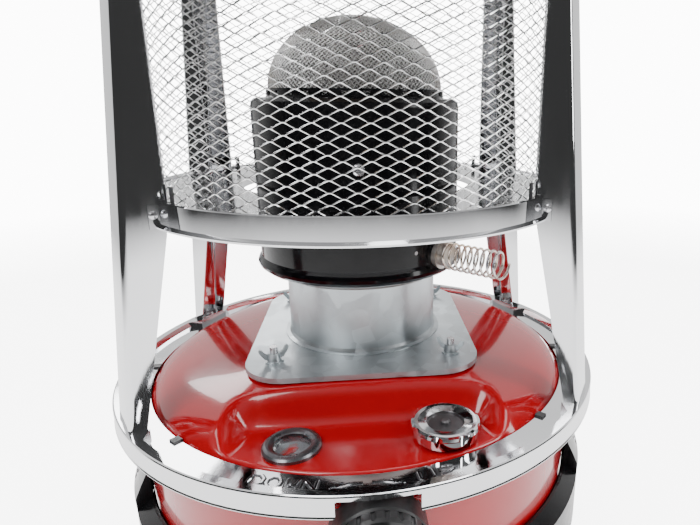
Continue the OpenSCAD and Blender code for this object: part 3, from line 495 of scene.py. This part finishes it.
def tank_cover():
    """The tank's domed top with the sunk shelf at its front and a rolled seam at its edge."""
    hi = box_mm("tank_top")[1]
    plate_hi = box_mm("mount_plate")[1]
    seam = box_mm("tank_bowl")[1].z
    lip = box_mm("lower_ring")[1].z
    boss = hi.z
    sheet = 0.8
    shelf = lip - 4.5
    outer = 143.8
    slope = 12.5  # fall from the boss to the edge, without the shoulder's own drop
    boss_x, boss_y = plate_hi.x - 3, plate_hi.y - 3
    boss_power, shoulder_power = 5, 8
    shoulder_r = 70
    shelf_half, shelf_flare, shelf_blend = 60, 0.28, 16
    flare_from = 80
    wall_top, wall_foot = plate_hi.y + 2, plate_hi.y + 17  # the sunk shelf's rear wall
    shelf_edge_r = 138.5

    def smooth(a, b, v):
        u = min(1, max(0, (v - a) / (b - a)))
        return u * u * (3 - 2 * u)

    def edge(a):
        """How far the flat boss reaches at an angle: a square with round corners."""
        c, s = abs(math.sin(a)) / boss_x, abs(math.cos(a)) / boss_y
        return 1 / (c ** boss_power + s ** boss_power) ** (1 / boss_power)

    def height(a, r):
        rb = edge(a)
        s = min(1, max(0, (r - rb) / (outer - rb)))
        t = min(1, max(0, (r - shoulder_r) / (outer - shoulder_r)))
        drop = (boss - seam - sheet - slope) * (1 - math.sqrt(1 - t ** shoulder_power))
        z = boss - slope * s - drop
        x, y, _ = polar(a, r, 0)
        side = shelf_half + shelf_flare * max(0, -y - flare_from)
        w = 1 - smooth(side, side + shelf_blend, abs(x))
        w *= smooth(wall_top, wall_foot, -y)
        floor_z = shelf - (shelf - seam - sheet) * smooth(shelf_edge_r, outer, r)
        return z + (min(z, floor_z) - z) * w

    spokes, rings = 360, 84
    mouth, first, crowd = 40.0, 68, 1.35  # crowd: closer rings towards the edge
    steps = [i / (rings - 2) for i in range(rings - 1)]
    radii = [mouth] + [first + (outer - first) * (1 - (1 - q) ** crowd) for q in steps]
    verts = []
    for depth in (0, sheet):
        for r in radii:
            for k in range(spokes):
                a = TAU * k / spokes
                verts.append(polar(a, r, height(a, r) - depth))
    half = rings * spokes
    skin = grid_faces(rings, spokes)
    faces = skin + [[v + half for v in f] for f in skin]
    for ring in (0, rings - 1):
        for k in range(spokes):
            a, b = ring * spokes + k, ring * spokes + (k + 1) % spokes
            faces.append([a, b, half + b, half + a])

    holes = []
    for node, r in (("gauge_housing", 12.6), ("filler_neck", 14.6)):
        a, b = box_mm(node)
        holes.append(((a.x + b.x) / 2, (a.y + b.y) / 2, r - 0.4))

    def cut_away(face):
        return any(all((verts[v][0] - x) ** 2 + (verts[v][1] - y) ** 2 < r ** 2 for v in face)
                   for x, y, r in holes)

    faces = [f for f in faces if not cut_away(f)]
    rolled = lathe([(outer - 0.6, seam), (hi.x - 0.4, seam), (hi.x, seam + 0.5),
                    (hi.x - 0.3, seam + sheet), (outer - 0.6, seam + sheet)])
    verts, faces = join([(verts, faces), rolled])
    build("tank_cover", verts, faces, MATS["red_enamel"], 50, ["tank_top"])


# ---------------------------------------------------------------- posts

def post(node):
    """A folded chrome channel with rounded bends, standing where the CAD post stands."""
    lo, hi = box_mm(node)
    right = 1 if lo.x + hi.x > 0 else -1
    az = math.radians(57 if lo.y + hi.y < 0 else 123) * right
    z0, z1 = lo.z, hi.z
    foot_r, lean = 160.5, 0.0925
    width, sheet, bend = 23.0, 1.0, 3.2
    foot_d, mid_d, top_d = 9.5, 23, 4  # depth of the webs
    widest_lo, widest_hi = z0 + 112, z0 + 126
    rows, bend_steps = 40, 6
    tab_half, tab_inner_r = 11, 115

    def depth(z):
        if z < widest_lo:
            return foot_d + (mid_d - foot_d) * (z - z0) / (widest_lo - z0)
        if z < widest_hi:
            return mid_d
        return mid_d + (top_d - mid_d) * (z - widest_hi) / (z1 - widest_hi)

    def side(tip, r, h, radius):
        """One web from its free edge, round the bend."""
        arc = [math.pi / 2 * k / bend_steps for k in range(bend_steps + 1)]
        return [(tip, h)] + [(r - bend + radius * math.sin(a), h + radius * (math.cos(a) - 1))
                             for a in arc]

    def section(z):
        r = foot_r - lean * (z - z0)
        tip = r - depth(z)
        h = width / 2
        outside = side(tip, r, h, bend)
        inside = side(tip, r, h - sheet, bend - sheet)
        outside += [(x, -y) for x, y in reversed(outside)]
        inside += [(x, -y) for x, y in reversed(inside)]
        return outside + inside[::-1]

    c, s = math.sin(az), math.cos(az)

    def place(x, y, z):
        return (x * c + y * s, -x * s + y * c, z)

    verts = []
    for i in range(rows + 1):
        z = z0 + (z1 - z0) * i / rows
        ring = section(z)
        verts += [place(x, y, z) for x, y in ring]
    n = len(ring)
    faces = grid_faces(rows + 1, n)
    for row in (0, rows):
        for k in range(n // 2 - 1):
            a, b = row * n + k, row * n + n - 1 - k
            faces.append([a, a + 1, b - 1, b])

    def tab(r0, r1, za, zb):
        corners = ((r0, -tab_half), (r1, -tab_half), (r1, tab_half), (r0, tab_half))
        v = [place(x, y, z) for z in (za, zb) for x, y in corners]
        f = [[0, 3, 2, 1], [4, 5, 6, 7], [0, 1, 5, 4], [1, 2, 6, 5], [2, 3, 7, 6], [3, 0, 4, 7]]
        return v, f

    gap = 0.8  # a tab starts inside the channel's back
    foot = tab(foot_r - foot_d, foot_r - gap, z0, z0 + sheet)
    head = tab(tab_inner_r, foot_r - lean * (z1 - z0) - gap, z1 - sheet, z1)
    verts, faces = join([(verts, faces), foot, head])
    build(node + "_channel", verts, faces, MATS["chrome"], 30, [node])


# ---------------------------------------------------------------- marks on the ring and gauge

def stroke(points, place, width, rise):
    """A raised ridge along flat points; place turns (u, v, height) into a point on the part."""
    foot, crest, sunk = 0.5, 0.32, -0.05  # half widths over the width; base below the face
    n = len(points)
    verts = []
    for i, (x, y) in enumerate(points):
        a = points[max(i - 1, 0)]
        b = points[min(i + 1, n - 1)]
        dx, dy = b[0] - a[0], b[1] - a[1]
        ln = math.hypot(dx, dy) or 1
        nx, ny = -dy / ln, dx / ln
        for w, h in ((foot, sunk), (crest, rise), (-crest, rise), (-foot, sunk)):
            verts.append(place(x + nx * width * w, y + ny * width * w, h))
    faces = grid_faces(n, 4)
    faces.append([0, 1, 2, 3])
    faces.append([(n - 1) * 4 + k for k in range(4)])
    return verts, faces


# Letters as lines in a unit square
GLYPHS = {
    "D": [[(0, 0), (0, 1), (0.6, 1), (1, 0.7), (1, 0.3), (0.6, 0), (0, 0)]],
    "O": [[(0.3, 0), (0, 0.3), (0, 0.7), (0.3, 1), (0.7, 1), (1, 0.7), (1, 0.3), (0.7, 0),
           (0.3, 0)]],
    "W": [[(0, 1), (0.25, 0), (0.5, 0.7), (0.75, 0), (1, 1)]],
    "N": [[(0, 0), (0, 1), (1, 0), (1, 1)]],
    "U": [[(0, 1), (0, 0.25), (0.3, 0), (0.7, 0), (1, 0.25), (1, 1)]],
    "P": [[(0, 0), (0, 1), (0.7, 1), (1, 0.85), (1, 0.6), (0.7, 0.45), (0, 0.45)]],
}


def ring_marks():
    """Pressed words and curved arrows on the ring's flat, each with a painted shade edge: a low
    dark strip round the raised ridge.
    """
    flat_z = box_mm("lower_ring")[1].z - 4
    r_mid = 150.0
    letter_h, letter_fill = 7.5, 0.76
    line, ridge, shade_extra, shade_rise = 1.5, 0.8, 1.7, 0.14

    def place(u, v, h):
        return polar(u / r_mid, r_mid - v, flat_z + h)

    def fine(points, step=1.5):
        """The same line in short steps, so that it bends with the ring."""
        out = []
        for (x0, y0), (x1, y1) in zip(points, points[1:]):
            k = max(1, int(math.hypot(x1 - x0, y1 - y0) / step))
            out += [(x0 + (x1 - x0) * i / k, y0 + (y1 - y0) * i / k) for i in range(k)]
        return out + [points[-1]]

    ridges, edges = [], []

    def mark(points, width):
        ridges.append(stroke(points, place, width, ridge))
        # painted shade: a wider, low dark strip under each ridge stands for the shade along its
        # slopes
        edges.append(stroke(points, place, width + shade_extra, shade_rise))

    for word, first, last in (("DOWN", -22.5, -8.6), ("UP", 10.0, 18.0)):
        u0, u1 = math.radians(first) * r_mid, math.radians(last) * r_mid
        cell = (u1 - u0) / len(word)
        for i, ch in enumerate(word):
            for path in GLYPHS[ch]:
                pts = [(u0 + cell * i + x * cell * letter_fill, (y - 0.5) * letter_h)
                       for x, y in path]
                mark(fine(pts), line)

    start, reach, high, fall, steps = 2.2, 13, 1.6, 3.4, 12
    for s in (-1, 1):
        arc = [(s * (start + reach * i / steps), high - fall * (i / steps) ** 2)
               for i in range(steps + 1)]
        mark(arc, 2.0)
        x, y = arc[-1]
        head = [(x - s * 3.2, y + 3.6), (x + s * 2.4, y - 0.8), (x - s * 4.0, y - 3.0)]
        mark(fine(head, 1.2), line)

    verts, faces = join(ridges)
    build("ring_marks", verts, faces, MATS["chrome"], 25)
    verts, faces = join(edges)
    build("ring_mark_shade", verts, faces, EMBOSS_SHADE, 25)


def gauge_marks():
    """Ticks, an arc and a red zone at the low end of the fuel gauge."""
    lo, hi = box_mm("gauge_dial")
    cx, cy = (lo.x + hi.x) / 2, (lo.y + hi.y) / 2
    half_sweep, ticks = 50, 9
    tick_in, tick_long_in, tick_out, arc_r, zone_r = 8.8, 7.4, 10.2, 10.4, 6.4

    def place(u, v, h):
        return (cx + u, cy + v, hi.z + h * 0.4)

    def around(r, degrees):
        return [(r * math.sin(math.radians(d)), -r * math.cos(math.radians(d))) for d in degrees]

    parts = []
    for i in range(ticks):
        a = math.radians(-half_sweep + 2 * half_sweep * i / (ticks - 1))
        inner = tick_in if i % 4 else tick_long_in
        tick = [(r * math.sin(a), -r * math.cos(a)) for r in (inner, tick_out)]
        parts.append(stroke(tick, place, 0.7, 0.4))
    parts.append(stroke(around(arc_r, range(-half_sweep, half_sweep + 1, 4)), place, 0.5, 0.4))
    verts, faces = join(parts)
    build("gauge_ticks", verts, faces, MARK, 25)
    verts, faces = stroke(around(zone_r, range(-52, -22, 4)), place, 1.6, 0.3)
    build("gauge_low_zone", verts, faces, MATS["needle_red"], 25)


guard()
dome()
grip()
tank_cover()
for name in ("post_front_right", "post_front_left", "post_rear_left", "post_rear_right"):
    post(name)
ring_marks()
gauge_marks()


# ---------------------------------------------------------------- stage, light and camera

def floor():
    """A pale floor that fades out into the studio."""
    steps, radii = 96, (0, 0.6, 1.2, 1.8, 2.4, 3.0, 3.6)
    fade_from, fade_to = 0.85, 1.5
    seen_glow, lit_glow = 6.0, 0.9  # emission for the camera and for everything else
    below = -0.0004
    verts = [polar(TAU * k / steps, max(r, 0.001), below) for r in radii for k in range(steps)]
    mesh = bpy.data.meshes.new("floor")
    mesh.from_pydata(verts, [], grid_faces(len(radii), steps))
    n = Nodes("floor_pale", (0.86, 0.86, 0.86), 0, 0.6)
    n.tint(n.noise(3, 4), 0.01)
    n.rough(n.noise(8, 3), 0.5, 0.65)
    n.bump(n.noise(200, 3), 0.02, 0.0003)
    away = n.tree.nodes.new("ShaderNodeVectorMath")
    away.operation = "LENGTH"
    n.link(n.where, away.inputs[0])
    fade = n.span(away.outputs["Value"], 1, 0, fade_from, fade_to)
    n.link(fade, n.bsdf.inputs["Alpha"])
    n.put("Emission Color", (1, 1, 1, 1))
    seen = n.tree.nodes.new("ShaderNodeLightPath").outputs["Is Camera Ray"]
    n.link(n.span(seen, lit_glow, seen_glow, 0, 1), n.bsdf.inputs["Emission Strength"])
    mesh.materials.append(n.mat)
    obj = bpy.data.objects.new("floor", mesh)
    bpy.context.collection.objects.link(obj)


def area(name, at, target, size, power):
    data = bpy.data.lights.new(name, "AREA")
    data.shape = "RECTANGLE"
    data.size, data.size_y = size
    data.energy = power
    obj = bpy.data.objects.new(name, data)
    bpy.context.collection.objects.link(obj)
    obj.location = at
    obj.rotation_mode = "QUATERNION"
    obj.rotation_quaternion = (Vector(target) - Vector(at)).to_track_quat("-Z", "Y")


def world():
    """White sweep behind, a darker room in front, a soft ceiling; plain white to the camera."""
    w = bpy.data.worlds.new("studio")
    bpy.context.scene.world = w
    w.use_nodes = True
    t = w.node_tree
    back = t.nodes["Background"]
    coord = t.nodes.new("ShaderNodeTexCoord")
    split = t.nodes.new("ShaderNodeSeparateXYZ")
    t.links.new(coord.outputs["Generated"], split.inputs["Vector"])

    def level(source, lo, hi, at_lo, at_hi):
        m = t.nodes.new("ShaderNodeMapRange")
        m.interpolation_type = "SMOOTHSTEP"
        ends = {"From Min": lo, "From Max": hi, "To Min": at_lo, "To Max": at_hi}
        for key, value in ends.items():
            m.inputs[key].default_value = value
        t.links.new(source, m.inputs["Value"])
        return m.outputs["Result"]

    rear = level(split.outputs["Y"], 0.0, 0.4, 0.05, 1.05)
    ceiling = level(split.outputs["Z"], 0.45, 0.8, 0.0, 0.45)
    total = t.nodes.new("ShaderNodeMath")
    t.links.new(rear, total.inputs[0])
    t.links.new(ceiling, total.inputs[1])
    path = t.nodes.new("ShaderNodeLightPath")
    mix = t.nodes.new("ShaderNodeMix")
    mix.data_type = "RGBA"
    t.links.new(path.outputs["Is Camera Ray"], mix.inputs["Factor"])
    t.links.new(total.outputs["Value"], mix.inputs["A"])
    mix.inputs["B"].default_value = (12, 12, 12, 1)
    t.links.new(mix.outputs["Result"], back.inputs["Color"])
    back.inputs["Strength"].default_value = 1.0


def camera():
    """In front of the heater and above its ring, turned a little right and down."""
    data = bpy.data.cameras.new("camera")
    data.sensor_width = 36
    data.lens = 28.83
    data.shift_x = -0.1286
    data.clip_start = 0.01
    yaw, pitch, roll = (math.radians(d) for d in (-8.08, -16.02, 0.51))
    ahead = Vector((-math.sin(yaw) * math.cos(pitch), math.cos(yaw) * math.cos(pitch),
                    math.sin(pitch)))
    level = Vector((math.cos(yaw), math.sin(yaw), 0))
    above = level.cross(ahead)
    right = level * math.cos(roll) + above * math.sin(roll)
    up = above * math.cos(roll) - level * math.sin(roll)
    place = Matrix((right, up, -ahead)).transposed().to_4x4()
    place.translation = Vector((0.00136, -0.38602, 0.30628))
    obj = bpy.data.objects.new("camera", data)
    bpy.context.collection.objects.link(obj)
    obj.matrix_world = place
    bpy.context.scene.camera = obj


floor()
world()
area("key", (-0.9, -1.1, 1.5), (0, 0, 0.25), (0.9, 0.9), 22)
area("fill", (1.3, -0.6, 0.9), (0, 0, 0.25), (0.35, 1.2), 12)
area("top", (0.1, 0.2, 1.9), (0, 0, 0.2), (1.2, 1.2), 22)
area("rear", (-0.4, 1.4, 1.1), (0, 0, 0.3), (1.2, 0.5), 14)
camera()
